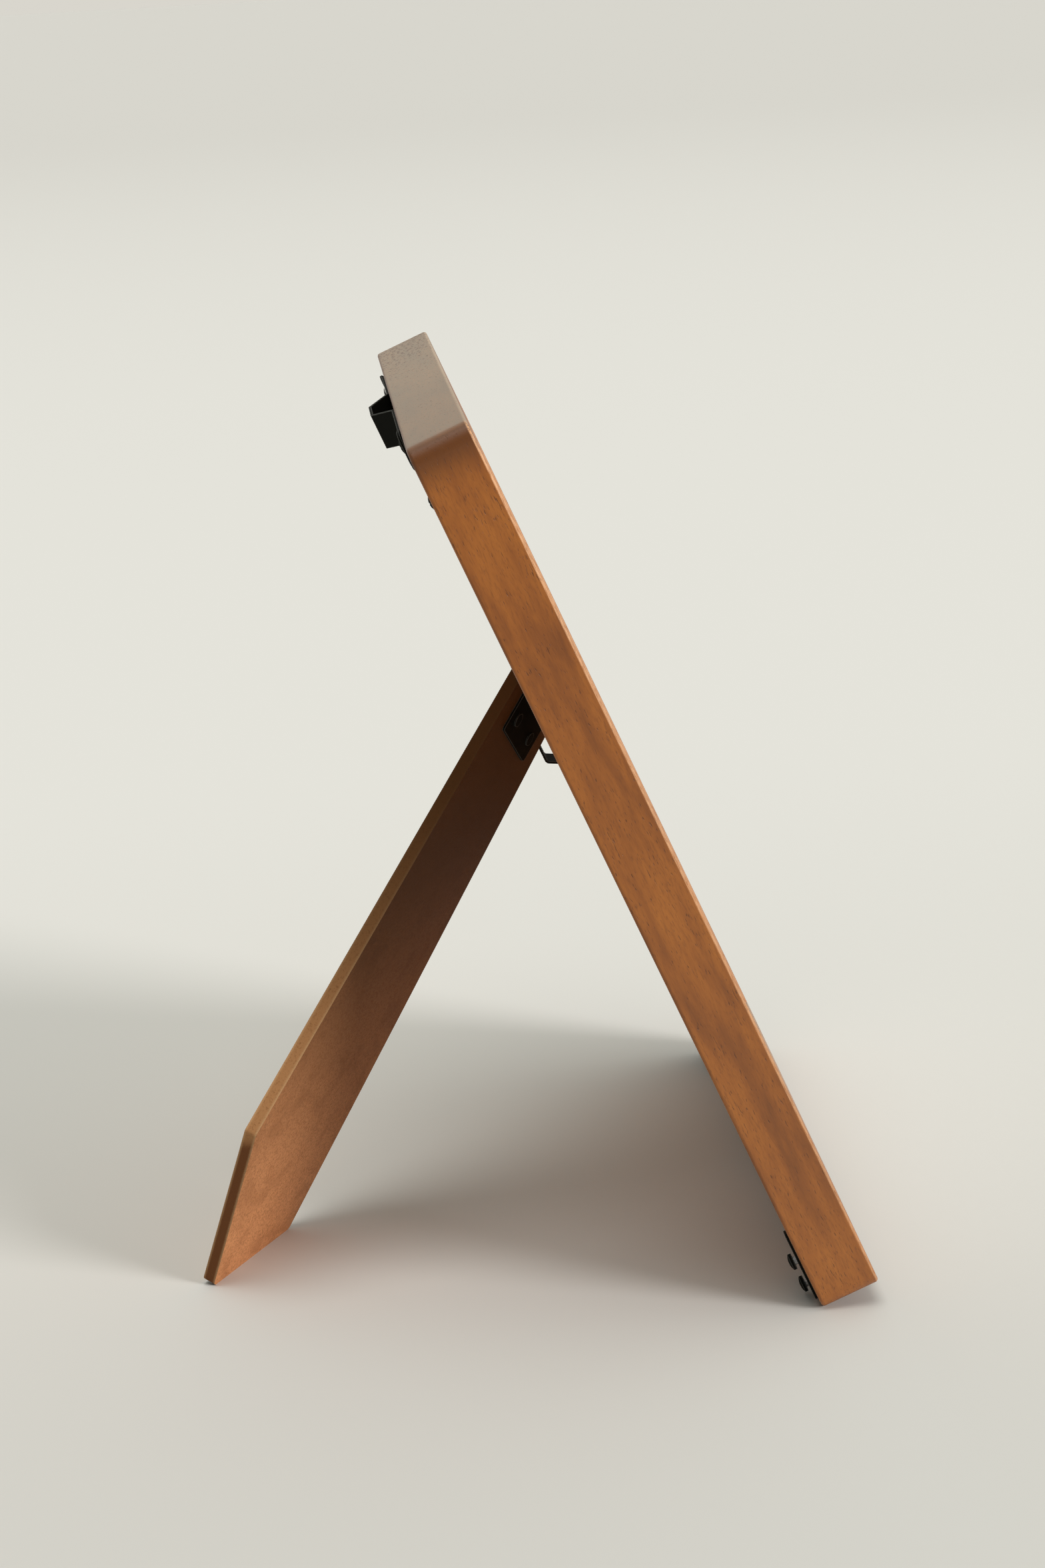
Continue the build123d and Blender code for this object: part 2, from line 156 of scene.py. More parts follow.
# The speckle that breaks the wear up, in blobs per metre, the base that it adds to, and the grime
SPECKLE_GRAIN = (900, 900, 900)
SPECKLE_BASE = 0.5
GRIME_GRAIN = (240, 240, 240)
# How much of the edge wear, which is also a painted highlight, shows in the black
WEAR_AND_GLINT_SHARE = 0.5
# How much the grime adds to the black's roughness, and how far below the set roughness it starts
BLACK_SWING = 0.22
BLACK_SHINE = 0.1
# The black's specular level
BLACK_GLOSS = 0.02
# How far off the wood the bare part of a standing screw starts, where it is full, and where it ends
SHANK_START = 0.7 * MM
SHANK_FULL = 0.75 * MM
SHANK_END = 1.35 * MM
# How much of the grime shows on the steel, its least roughness, and how much grime adds
STEEL_GRIME_SHARE = 0.4
STEEL_ROUGHNESS = 0.22
STEEL_SWING = 0.25
# Depth of the relief on the black and on the steel
METAL_RELIEF = 0.01 * MM

GLASS_ROUGHNESS = 0.02
GLASS_IOR = 1.5
# How far the glass and the paper are drawn in from each other
HAIRLINE = 0.05 * MM
# Between which values the paper has fibres
PAPER_SPAN = (0.45, 0.7)
PAPER_ROUGHNESS = 0.85
PAPER_RELIEF = 0.02 * MM

# How far the floor goes, and where along X its tones turn from near to middle and from middle to far
FLOOR_REACH = 60.0
NEAR_FADE = (-0.35, 0.45)
FAR_FADE = (0.6, 6.0)
FLOOR_ROUGHNESS = 0.9
FLOOR_GLOSS = 0.1
# How squarely a direction looks at the soft light, from its shade to its full strength
FILL_FADE = (-0.6, 0.7)
# How squarely a direction looks along X from the dim room to the wall, and from there to the far wall
ROOM_FADE = (-0.95, -0.3)
FAR_WALL_FADE = (0.6, 0.9)
# The photograph's height in pixels, the sensor's long side, and how near and far the camera sees
IMAGE_HEIGHT = 2352
SENSOR = 36.0
CLIP = (0.01, 50.0)


def colour(name, description, default):
    """A colour that a user can change."""
    kind = {"subtype": "COLOR", "size": 3, "min": 0, "max": 1}
    return FloatVectorProperty(name=name, description=description, default=default, **kind)


def length(name, description, default):
    """A length in metres that a user can change."""
    kind = {"subtype": "DISTANCE", "unit": "LENGTH"}
    return FloatProperty(name=name, description=description, default=default, **kind)


def angle(name, description, default):
    """An angle, given in degrees, that a user can change."""
    kind = {"subtype": "ANGLE", "unit": "ROTATION"}
    return FloatProperty(name=name, description=description, default=radians(default), **kind)


def factor(name, description, default):
    """A share from 0 to 1 that a user can change."""
    kind = {"subtype": "FACTOR", "min": 0, "max": 1}
    return FloatProperty(name=name, description=description, default=default, **kind)


def number(name, description, default):
    """A plain number that a user can change."""
    return FloatProperty(name=name, description=description, default=default)


class TimberSettings(bpy.types.PropertyGroup):
    """The oiled hardwood of the moulding."""

    golden: colour("Golden", "The lightest grain", (0.49, 0.166, 0.031))
    brown: colour("Brown", "The body of the wood", (0.35, 0.111, 0.024))
    umber: colour("Umber", "The dark clouds along the grain", (0.21, 0.068, 0.02))
    pore: colour("Pore", "The short open pores", (0.075, 0.026, 0.014))
    # Painted highlight along the rounded front edges
    highlit: colour("Rubbed", "Where the finish is rubbed pale along the edges", (0.80, 0.43, 0.22))
    # Painted shade at the rounded top corners and on the near part of the top
    painted_shade: colour("Soaked", "Where the oil has darkened the wood at the top corners", (0.13, 0.045, 0.014))
    # Painted sheen: its pale colour, how much shows on what faces up, and how much shows low on the sides
    painted_sheen: colour("Dust", "The pale bloom on what faces up", (0.315, 0.275, 0.205))
    sheen_share: factor("Dust share", "How much bloom there is", 0.7)
    low_sheen_share: factor("Scuff share", "How much of the same bloom the foot of the sides has", 0.06)
    roughness: factor("Roughness", "How dull the oiled surface is", 0.40)
    relief: length("Relief", "Depth of the grain's relief", 0.00005)


class BoardSettings(bpy.types.PropertyGroup):
    """The hardboard of the leg and of the backing board."""

    face: colour("Face", "The pressed face", (0.68, 0.3, 0.125))
    fleck: colour("Fleck", "The darker fibres", (0.33, 0.125, 0.045))
    # Painted shade on the leg, darkest towards the hinge
    hinge_shade: colour("Stain", "What the leg darkens to towards the hinge", (0.079, 0.031, 0.007))
    edge: colour("Edge", "The sawn edge", (0.40, 0.19, 0.075))
    # The darker colour of the sawn edge below the kink in the leg's near edge
    foot: colour("Foot", "The stained edge of the feet", (0.165, 0.06, 0.019))
    fringe: colour("Fringe", "The pale fibres along the sawn edge", (0.56, 0.34, 0.17))
    fringe_width: length("Fringe width", "How wide the pale fringe is", 0.0016)
    roughness: factor("Roughness", "How dull the pressed face is", 0.62)
    relief: length("Relief", "Depth of the fibres' relief", 0.00008)


class HardwareSettings(bpy.types.PropertyGroup):
    """The black hangers, plates, hinge and screws, and the bare steel."""

    black: colour("Black", "The baked black finish", (0.008, 0.008, 0.0062))
    # Edge wear on the black that is also a painted highlight; the same grey tints the steel's grime
    worn_and_glint: colour("Worn", "Where the black is rubbed thin", (0.3, 0.3, 0.28))
    steel: colour("Steel", "The bare steel", (0.55, 0.55, 0.54))
    wear_width: length("Wear width", "How wide the rubbed edges are", 0.00045)
    roughness: factor("Roughness", "How dull the black is", 0.62)


class GlazingSettings(bpy.types.PropertyGroup):
    """The glass and the bare paper behind it."""

    glass: colour("Glass", "The tint of the glass", (0.97, 0.99, 0.98))
    paper: colour("Paper", "The bare paper", (0.66, 0.645, 0.61))
    fibre: colour("Fibre", "The paper's faint fibres", (0.58, 0.565, 0.53))


class StudioSettings(bpy.types.PropertyGroup):
    """The floor, the light and the camera."""

    floor: colour("Floor", "The pale floor", (0.734, 0.704, 0.668))
    near_floor: colour("Near floor", "The floor close to the camera, a little dimmer", (0.618, 0.593, 0.557))
    far_floor: colour("Far floor", "The floor far beyond the frame, a little dimmer", (0.637, 0.606, 0.571))
    sky: colour("Sky", "The pale wall all round", (0.735, 0.715, 0.665))
    far_wall: colour("Far wall", "The wall ahead of the camera, as dim as the far floor", (0.693, 0.67, 0.61))
    room: colour("Room", "The dim room behind the camera, as it shows in gloss", (0.16, 0.16, 0.155))
    fill: colour("Fill", "The soft light from beyond the frame", (0.71, 0.775, 0.735))
    fill_turn: angle("Fill turn", "How far that light is turned towards the front", 5)
    shade: colour("Shade", "The soft light from the other side", (0.092, 0.103, 0.1))
    key_strength: number("Key strength", "Strength of the low light", 2.0)
    key_spread: angle("Key spread", "How wide the low light looks from the object", 20)
    key_turn: angle("Key turn", "Where the low light is round the object, from the front", -35)
    key_height: angle("Key height", "How high the low light is", 25)
    overhead_strength: number("Overhead strength", "Strength of the light above", 1.3)
    overhead_spread: angle("Overhead spread", "How wide the light above looks from the object", 42)
    overhead_tilt: angle("Overhead tilt", "How far the light above is behind the frame", 6)
    overhead_side: angle("Overhead side", "How far the light above is to the camera's side", 8)
    overhead_colour: colour("Overhead colour", "The colour of the light above", (1.0, 0.985, 0.94))
    camera_place: FloatVectorProperty(
        name="Camera place",
        description="Where the camera stands",
        subtype="TRANSLATION",
        unit="LENGTH",
        size=3,
        default=(-0.70909, 0.04114, 0.30468),
    )
    camera_turn: angle("Camera turn", "Camera's turn towards the front of the frame", 3.985)
    camera_tilt: angle("Camera tilt", "How far the camera looks down", 15.441)
    camera_roll: angle("Camera roll", "Camera's roll", -3.159)
    focal_pixels: number("Focal length", "Focal length in the photograph's pixels", 4423.6)


def plug(tree, value, socket):
    """Links a value to a socket, or sets the socket to it when it is a constant."""
    if isinstance(value, bpy.types.NodeSocket):
        tree.links.new(value, socket)
    else:
        socket.default_value = value


def node(tree, kind, props=None, inputs=None):
    """Adds a shader node, sets its properties, and sets or links its inputs."""
    made = tree.nodes.new(kind)
    for key, value in (props or {}).items():
        setattr(made, key, value)
    for key, value in (inputs or {}).items():
        plug(tree, value, made.inputs[key])
    return made


def calc(tree, operation, first, second=0.0):
    """One sum on two values."""
    return node(tree, "ShaderNodeMath", {"operation": operation}, {0: first, 1: second}).outputs[0]


def times(tree, first, second):
    """One value multiplied by another."""
    return calc(tree, "MULTIPLY", first, second)


def rest_of(tree, share):
    """What a share leaves of the whole."""
    return calc(tree, "SUBTRACT", 1.0, share)


def vary(tree, value, swing, base):
    """A base with a value's swing added."""
    return calc(tree, "ADD", times(tree, value, swing), base)


def along(tree, vector, direction):
    """How far a vector goes along a direction."""
    inputs = {0: vector, 1: direction}
    return node(tree, "ShaderNodeVectorMath", {"operation": "DOT_PRODUCT"}, inputs).outputs["Value"]


def axis_of(tree, vector, axis):
    """A vector's X, Y or Z."""
    return node(tree, "ShaderNodeSeparateXYZ", inputs={0: vector}).outputs[axis]


def noise(tree, vector, grain, detail, rough=0.5, warp=0.0):
    """Soft noise from 0 to 1, with its blobs per metre given for each axis."""
    finer = node(tree, "ShaderNodeVectorMath", {"operation": "MULTIPLY"}, {0: vector, 1: grain}).outputs[0]
    inputs = {"Vector": finer, "Scale": 1.0, "Detail": detail, "Roughness": rough, "Distortion": warp}
    return node(tree, "ShaderNodeTexNoise", {"noise_dimensions": "3D"}, inputs).outputs["Fac"]


def band(tree, value, low, high):
    """0 below low, 1 above high, and smooth between."""
    inputs = {"Value": value, "From Min": low, "From Max": high}
    return node(tree, "ShaderNodeMapRange", {"interpolation_type": "SMOOTHSTEP"}, inputs).outputs["Result"]


def share_past(tree, value, span, share):
    """A share where a value is past a span, with a smooth start across it."""
    return times(tree, band(tree, value, *span), share)


def mix(tree, share, first, second):
    """Two colours mixed by a share."""
    made = node(tree, "ShaderNodeMix", {"data_type": "RGBA"}, {"Factor": share})
    sockets = [socket for socket in made.inputs if socket.type == "RGBA"]
    for socket, value in zip(sockets, (first, second)):
        plug(tree, value if isinstance(value, bpy.types.NodeSocket) else (*value, 1.0), socket)
    return next(socket for socket in made.outputs if socket.type == "RGBA")


def new_group(name, takes, gives):
    """An empty shader node group with its sockets, and its input and output nodes."""
    tree = bpy.data.node_groups.new(name, "ShaderNodeTree")
    for label, kind in takes.items():
        tree.interface.new_socket(label, in_out="INPUT", socket_type=kind)
    for label in gives:
        tree.interface.new_socket(label, in_out="OUTPUT", socket_type="NodeSocketFloat")
    return tree, tree.nodes.new("NodeGroupInput"), tree.nodes.new("NodeGroupOutput")


def finish_group(tree, sink, results):
    """Links a group's results to its output sockets."""
    for label, value in results.items():
        tree.links.new(value, sink.inputs[label])
    return tree


def place_group(tree, name, build, inputs):
    """A node group placed in a material, and built first if no material has it yet."""
    group = bpy.data.node_groups.get(name) or build(name)
    return node(tree, "ShaderNodeGroup", {"node_tree": group}, inputs).outputs


def timber_figure(name):
    """Clouds, streaks, pores and relief of hardwood whose grain runs along Z, in metres."""
    takes = {"Vector": "NodeSocketVector"}
    tree, source, sink = new_group(name, takes, ("Cloud", "Streak", "Pore", "Height"))
    place = source.outputs["Vector"]
    broad = noise(tree, place, CLOUD_GRAIN, detail=3.0, rough=0.5, warp=0.15)
    drift = noise(tree, place, DRIFT_GRAIN, detail=3.0, rough=0.6, warp=0.2)
    cloud = calc(tree, "ADD", times(tree, broad, CLOUD_SHARE), times(tree, drift, 1 - CLOUD_SHARE))
    streak = noise(tree, place, STREAK_GRAIN, detail=3.0, rough=0.65, warp=0.3)
    dashes = noise(tree, place, DASH_GRAIN, detail=1.0)
    patches = noise(tree, place, PATCH_GRAIN, detail=1.0)
    pore = band(tree, calc(tree, "ADD", dashes, times(tree, patches, PATCH_SHARE)), *PORE_SPAN)
    height = calc(tree, "SUBTRACT", times(tree, streak, STREAK_DEPTH_SHARE), pore)
    return finish_group(tree, sink, {"Cloud": cloud, "Streak": streak, "Pore": pore, "Height": height})


def edge_wear(name):
    """How rubbed a place is: 1 on an edge, 0 on a flat, broken up by noise."""
    takes = {"Width": "NodeSocketFloat", "Vector": "NodeSocketVector"}
    tree, source, sink = new_group(name, takes, ("Wear", "Grime"))
    place = source.outputs["Vector"]
    rounded = node(tree, "ShaderNodeBevel", {"samples": WEAR_SAMPLES}, {"Radius": source.outputs["Width"]})
    flat = node(tree, "ShaderNodeNewGeometry").outputs["Normal"]
    edge = rest_of(tree, along(tree, rounded.outputs[0], flat))
    speckle = noise(tree, place, SPECKLE_GRAIN, detail=3.0, rough=0.6)
    wear = band(tree, times(tree, edge, calc(tree, "ADD", speckle, SPECKLE_BASE)), *WEAR_SPAN)
    grime = noise(tree, place, GRIME_GRAIN, detail=4.0, rough=0.6)
    return finish_group(tree, sink, {"Wear": wear, "Grime": grime})


def fibre_speckle(name):
    """Fine pressed fibres, larger mottling, and their relief."""
    takes = {"Vector": "NodeSocketVector"}
    tree, source, sink = new_group(name, takes, ("Fibre", "Mottle", "Height"))
    place = source.outputs["Vector"]
    fibre = noise(tree, place, FIBRE_GRAIN, detail=3.0, rough=0.65, warp=0.6)
    mottle = noise(tree, place, MOTTLE_GRAIN, detail=4.0, rough=0.6, warp=0.4)
    height = calc(tree, "ADD", fibre, times(tree, mottle, MOTTLE_DEPTH_SHARE))
    return finish_group(tree, sink, {"Fibre": fibre, "Mottle": mottle, "Height": height})


def new_material(name):
    """A material with its tree, its Principled shader and the object's coordinates."""
    made = bpy.data.materials.new(name)
    made.use_nodes = True
    tree = made.node_tree
    return made, tree, tree.nodes["Principled BSDF"], node(tree, "ShaderNodeTexCoord").outputs


def feed(tree, shader, **values):
    """Links or sets a shader's inputs by name, with _ for spaces."""
    for key, value in values.items():
        plug(tree, value, shader.inputs[key.replace("_", " ")])


def bump(tree, shader, height, depth):
    """Relief of a depth in metres on a shader."""
    made = node(tree, "ShaderNodeBump", inputs={"Height": height, "Distance": depth})
    feed(tree, shader, Normal=made.outputs["Normal"])


def place_wear(tree, place, width):
    """The wear along a piece's edges, as wide as given, and its grime."""
    return place_group(tree, "Edge wear", edge_wear, {"Width": width, "Vector": place["Object"]})


def facing(tree, place, direction):
    """How squarely a surface looks along a direction, either way, from 0 to 1."""
    return calc(tree, "ABSOLUTE", along(tree, place["Normal"], direction))


def up_slope(tree, place):
    """How far up the frame's slope a place is."""
    return along(tree, place["Object"], -EDGE_DOWN)


def near_side(tree, place, end):
    """A mask that is full at the near side and fades to nothing at a place across."""
    return rest_of(tree, band(tree, axis_of(tree, place["Object"], "X"), -SIDE, end))


def grain_tone(tree, settings, figure):
    """Umber, brown and golden clouds with dark streaks and pores."""
    tone = mix(tree, band(tree, figure["Cloud"], *BROWN_SPAN), settings.umber, settings.brown)
    tone = mix(tree, band(tree, figure["Cloud"], *GOLDEN_SPAN), tone, settings.golden)
    tone = mix(tree, share_past(tree, figure["Streak"], STREAK_SPAN, STREAK_SHARE), tone, settings.umber)
    return mix(tree, times(tree, figure["Pore"], PORE_SHARE), tone, settings.pore)


def corner_shade_mask(tree, place, cloud):
    """A mask of the painted shade on the sides close to the top, and on the top's near end, around the
    rounded top corners.
    """
    height = calc(tree, "ADD", up_slope(tree, place), times(tree, cloud, CORNER_SHADE_RAGGED))
    beside = rest_of(tree, band(tree, facing(tree, place, EDGE_DOWN), *SIDE_SPAN))
    beside = calc(tree, "MAXIMUM", beside, near_side(tree, place, -SIDE + CORNER_SHADE_END))
    shaded = times(tree, band(tree, height, TOP - CORNER_SHADE_DEPTH, TOP + CORNER_SHADE_FADE), beside)
    return times(tree, shaded, CORNER_SHADE_SHARE)


def edge_highlight_mask(tree, place, streak):
    """A mask of the painted highlight on the rounded front edges, broken up by the grain and fainter towards
    the foot.
    """
    front = along(tree, place["Normal"], -BACK)
    turned = times(tree, band(tree, front, *ROUND_STARTS), rest_of(tree, band(tree, front, *ROUND_ENDS)))
    broken = times(tree, turned, band(tree, streak, *HIGHLIGHT_SPAN))
    return times(tree, broken, vary(tree, up_slope(tree, place), (1 - FOOT_HIGHLIGHT_SHARE) / TOP, FOOT_HIGHLIGHT_SHARE))


def sheen(tree, settings, place, level, streak):
    """A mask of the painted sheen on what is level, apart from its shaded near end, and of its painted trace
    low on the sides.
    """
    sheen_level = times(tree, times(tree, level, calc(tree, "ADD", streak, SHEEN_BASE)), settings.sheen_share)
    sheen_level = times(tree, sheen_level, rest_of(tree, near_side(tree, place, -SIDE + CORNER_SHADE_END)))
    low = rest_of(tree, band(tree, up_slope(tree, place), 0.0, TOP))
    return calc(tree, "MAXIMUM", sheen_level, times(tree, low, settings.low_sheen_share))


def pits(tree, place):
    """A mask of small dark pits, thickest towards the far side."""
    across = axis_of(tree, place["Object"], "X")
    dots = noise(tree, place["Object"], PIT_GRAIN, detail=2.0, rough=0.6)
    thicker = share_past(tree, across, (PIT_START_SHARE * SIDE, SIDE), PIT_THICKENING)
    return share_past(tree, calc(tree, "ADD", dots, thicker), PIT_SPAN, PIT_SHARE)


def timber_material(settings, name, turn, offset):
    """Oiled wood with its grain along the piece, started at its own place in the tree."""
    made, tree, shader, place = new_material(name)
    inputs = {"Vector": place["Object"], "Rotation": (LEAN, turn, 0), "Location": offset}
    grain = node(tree, "ShaderNodeMapping", inputs=inputs).outputs[0]
    figure = place_group(tree, "Timber figure", timber_figure, {"Vector": grain})
    level = band(tree, axis_of(tree, place["Normal"], "Z"), *LEVEL_SPAN)
    # Painted shade on the near part of the top, darker than its far part
    dim = times(tree, near_side(tree, place, NEAR_SHADE_REACH_SHARE * SIDE), level)
    tone = grain_tone(tree, settings, figure)
    # Painted shade at the rounded top corners
    tone = mix(tree, corner_shade_mask(tree, place, figure["Cloud"]), tone, settings.painted_shade)
    # Painted highlight along the rounded front edges
    tone = mix(tree, edge_highlight_mask(tree, place, figure["Streak"]), tone, settings.highlit)
    # Painted sheen on what faces up and low on the sides
    tone = mix(tree, sheen(tree, settings, place, level, figure["Streak"]), tone, settings.painted_sheen)
    # Painted shade on the near part of the top
    tone = mix(tree, times(tree, dim, NEAR_SHADE_SHARE), tone, settings.painted_shade)
    tone = mix(tree, times(tree, pits(tree, place), level), tone, settings.pore)
    dull = vary(tree, figure["Streak"], TIMBER_SWING, settings.roughness - TIMBER_SWING / 2)
    feed(tree, shader, Base_Color=tone, Roughness=dull, Specular_IOR_Level=TIMBER_GLOSS)
    bump(tree, shader, figure["Height"], settings.relief)
    return made


def broad_normal(name):
    """The direction that a flat piece's largest face looks, at rest."""
    polygons = frame["nodes"][name].data.polygons
    return max(polygons, key=lambda polygon: polygon.area).normal.copy()


def pressed_face(tree, settings, fibres):
    """The board's face, with flecks and mottling."""
    flecks = share_past(tree, fibres["Fibre"], FLECK_SPAN, FLECK_SHARE)
    mottling = share_past(tree, fibres["Mottle"], MOTTLE_SPAN, MOTTLE_SHARE)
    return mix(tree, mottling, mix(tree, flecks, settings.face, settings.fleck), settings.fleck)


def sawn_edge(tree, settings, fibres, height, foot_height, fringe):
    """The board's fuzzy edge, dark up to a height, with dark fibres and a pale fringe."""
    ragged = calc(tree, "ADD", height, times(tree, fibres["Mottle"], FOOT_RAGGED))
    edge = mix(tree, band(tree, ragged, foot_height, foot_height + FOOT_RAGGED), settings.foot, settings.edge)
    edge = mix(tree, share_past(tree, fibres["Fibre"], SAWN_SPAN, SAWN_SHARE), edge, settings.foot)
    return mix(tree, times(tree, fringe, FRINGE_SHARE), edge, settings.fringe)


def board_material(settings, name, broad, foot_height, shade_share):
    """Hardboard with a pressed face and a sawn edge, with painted shade on the edge and the inner face,
    darker towards the top.
    """
    made, tree, shader, place = new_material(name)
    fibres = place_group(tree, "Fibre speckle", fibre_speckle, {"Vector": place["Object"]})
    fringe = place_wear(tree, place, settings.fringe_width)["Wear"]
    height = axis_of(tree, place["Object"], "Z")
    # The inner face looks to the front
    inner = along(tree, place["Normal"], -broad if broad.y > 0 else broad)
    # Painted shade on the inner face, darker towards the hinge
    face_shade = times(tree, band(tree, height, *SHADE_RISE), band(tree, inner, *INNER_SPAN))
    face = pressed_face(tree, settings, fibres)
    face = mix(tree, times(tree, face_shade, shade_share), face, settings.hinge_shade)
    edge = sawn_edge(tree, settings, fibres, height, foot_height, fringe)
    # Painted shade on the sawn edge, darker towards the hinge
    edge = mix(tree, share_past(tree, height, EDGE_SHADE_RISE, shade_share), edge, settings.hinge_shade)
    sawn = calc(tree, "LESS_THAN", facing(tree, place, broad), SAWN_LOOK)
    dull = vary(tree, sawn, SAWN_ROUGHER, settings.roughness)
    tone = mix(tree, sawn, face, edge)
    feed(tree, shader, Base_Color=tone, Roughness=dull, Specular_IOR_Level=BOARD_GLOSS)
    bump(tree, shader, fibres["Height"], settings.relief)
    return made


def bare_shanks(tree, place):
    """A mask of the screws between the wood and the heads that stand off it."""
    off = along(tree, place["Object"], BACK)
    under_head = calc(tree, "LESS_THAN", off, WOOD_BACK + SHANK_END)
    return times(tree, under_head, band(tree, off, WOOD_BACK + SHANK_START, WOOD_BACK + SHANK_FULL))


def black_material(settings, name, screws):
    """Satin black, worn to grey along its edges, where the grey is also a painted highlight, with the shanks
    of standing screws left bare.
    """
    made, tree, shader, place = new_material(name)
    wear = place_wear(tree, place, settings.wear_width)
    # Edge wear with a painted highlight along the edges
    tone = mix(tree, times(tree, wear["Wear"], WEAR_AND_GLINT_SHARE), settings.black, settings.worn_and_glint)
    if screws:
        bare = bare_shanks(tree, place)
        tone = mix(tree, bare, tone, settings.steel)
        feed(tree, shader, Metallic=bare)
    dull = vary(tree, wear["Grime"], BLACK_SWING, settings.roughness - BLACK_SHINE)
    feed(tree, shader, Base_Color=tone, Roughness=dull, Specular_IOR_Level=BLACK_GLOSS)
    bump(tree, shader, wear["Grime"], METAL_RELIEF)
    return made


def steel_material(settings):
    """Bare steel with a drawn, slightly soiled surface."""
    made, tree, shader, place = new_material("Bare steel")
    grime = place_wear(tree, place, settings.wear_width)["Grime"]
    tone = mix(tree, times(tree, grime, STEEL_GRIME_SHARE), settings.steel, settings.worn_and_glint)
    dull = vary(tree, grime, STEEL_SWING, STEEL_ROUGHNESS)
    feed(tree, shader, Base_Color=tone, Roughness=dull, Metallic=1.0)
    bump(tree, shader, grime, METAL_RELIEF)
    return made


def glass_material(settings):
    """Clear float glass that lets the lamps through to the paper behind it."""
    made, tree, shader, _ = new_material("Clear glass")
    feed(tree, shader, Base_Color=(*settings.glass, 1.0), Transmission_Weight=1.0)
    feed(tree, shader, Roughness=GLASS_ROUGHNESS, IOR=GLASS_IOR)
    clear = node(tree, "ShaderNodeBsdfTransparent").outputs[0]
    path = node(tree, "ShaderNodeLightPath").outputs
    through = calc(tree, "MAXIMUM", path["Is Shadow Ray"], path["Is Diffuse Ray"])
    lit = node(tree, "ShaderNodeMixShader", inputs={0: through, 1: shader.outputs[0], 2: clear})
    plug(tree, lit.outputs[0], tree.nodes["Material Output"].inputs["Surface"])
    return made


def paper_material(settings):
    """Plain matt paper with faint fibres."""
    made, tree, shader, place = new_material("Bare paper")
    fibres = place_group(tree, "Fibre speckle", fibre_speckle, {"Vector": place["Object"]})
    tone = mix(tree, band(tree, fibres["Fibre"], *PAPER_SPAN), settings.paper, settings.fibre)
    feed(tree, shader, Base_Color=tone, Roughness=PAPER_ROUGHNESS)
    bump(tree, shader, fibres["Height"], PAPER_RELIEF)
    return made


def floor_material(settings):
    """Pale matt floor, a little dimmer towards the camera and far beyond the frame."""
    made, tree, shader, place = new_material("Pale floor")
    across = axis_of(tree, place["Object"], "X")
    tone = mix(tree, band(tree, across, *NEAR_FADE), settings.near_floor, settings.floor)
    tone = mix(tree, band(tree, across, *FAR_FADE), tone, settings.far_floor)
    feed(tree, shader, Base_Color=tone, Roughness=FLOOR_ROUGHNESS, Specular_IOR_Level=FLOOR_GLOSS)
    return made


def studio_world(settings):
    """Soft light from beyond the frame, while what is seen or mirrored is a pale wall and a dim room."""
    world = bpy.data.worlds.new("Studio")
    world.use_nodes = True
    tree = world.node_tree
    look = node(tree, "ShaderNodeTexCoord").outputs["Generated"]
    bright = Vector((cos(settings.fill_turn), -sin(settings.fill_turn), 0))
    light = mix(tree, band(tree, along(tree, look, bright), *FILL_FADE), settings.shade, settings.fill)
    ahead = axis_of(tree, look, "X")
    wall = mix(tree, band(tree, ahead, *ROOM_FADE), settings.room, settings.sky)
    wall = mix(tree, band(tree, ahead, *FAR_WALL_FADE), wall, settings.far_wall)
    path = node(tree, "ShaderNodeLightPath").outputs
    seen = calc(tree, "MAXIMUM", path["Is Camera Ray"], path["Is Glossy Ray"])
    seen = calc(tree, "MAXIMUM", seen, path["Is Transmission Ray"])
    plug(tree, mix(tree, seen, light, wall), tree.nodes["Background"].inputs["Color"])
    return world


def floor_mesh(half):
    """A flat square floor."""
    made = bmesh.new()
    outline = ((-half, -half), (half, -half), (half, half), (-half, half))
    made.faces.new([made.verts.new((x, y, 0)) for x, y in outline])
    mesh = bpy.data.meshes.new("Floor")
    made.to_mesh(mesh)
    made.free()
    return mesh


def dress(name, material):
    """Gives a node its finish."""
    mesh = frame["nodes"][name].data
    mesh.materials.clear()
    mesh.materials.append(material)


def draw_in(name, by):
    """Draws a piece's faces in by a hair, so that none coincides with its neighbour's."""
    shrink = frame["nodes"][name].modifiers.new("Hairline", "DISPLACE")
    shrink.strength = -by
    shrink.mid_level = 0.0


class PHOTOFRAME_OT_timber(bpy.types.Operator):
    """Gives the stiles and rails their oiled wood, each with its own stretch of grain"""

    bl_idname = "photoframe.timber"
    bl_label = "Finish the moulding"

    def execute(self, context):
        settings = context.scene.photoframe_timber
        for count, name in enumerate(STILES + RAILS):
            turn = 0.0 if name in STILES else pi / 2
            offset = [step * count for step in GRAIN_STEP]
            dress(name, timber_material(settings, f"Timber {name}", turn, offset))
        return {"FINISHED"}


class PHOTOFRAME_OT_boards(bpy.types.Operator):
    """Gives the leg and the backing board their hardboard"""

    bl_idname = "photoframe.boards"
    bl_label = "Finish the hardboard"

    def execute(self, context):
        settings = context.scene.photoframe_boards
        for name, foot_height, shade_share in BOARDS:
            label = f"Hardboard {name}"
            dress(name, board_material(settings, label, broad_normal(name), foot_height, shade_share))
        return {"FINISHED"}


class PHOTOFRAME_OT_black(bpy.types.Operator):
    """Gives the hinge, hangers, plates and screws their black finish"""

    bl_idname = "photoframe.black"
    bl_label = "Finish the black hardware"

    def execute(self, context):
        settings = context.scene.photoframe_hardware
        sheet = black_material(settings, "Baked black", screws=False)
        blacked = black_material(settings, "Blacked screws", screws=True)
        for names, material in ((BLACK_NODES, sheet), (SCREW_NODES, blacked)):
            for name in names:
                dress(name, material)
        return {"FINISHED"}


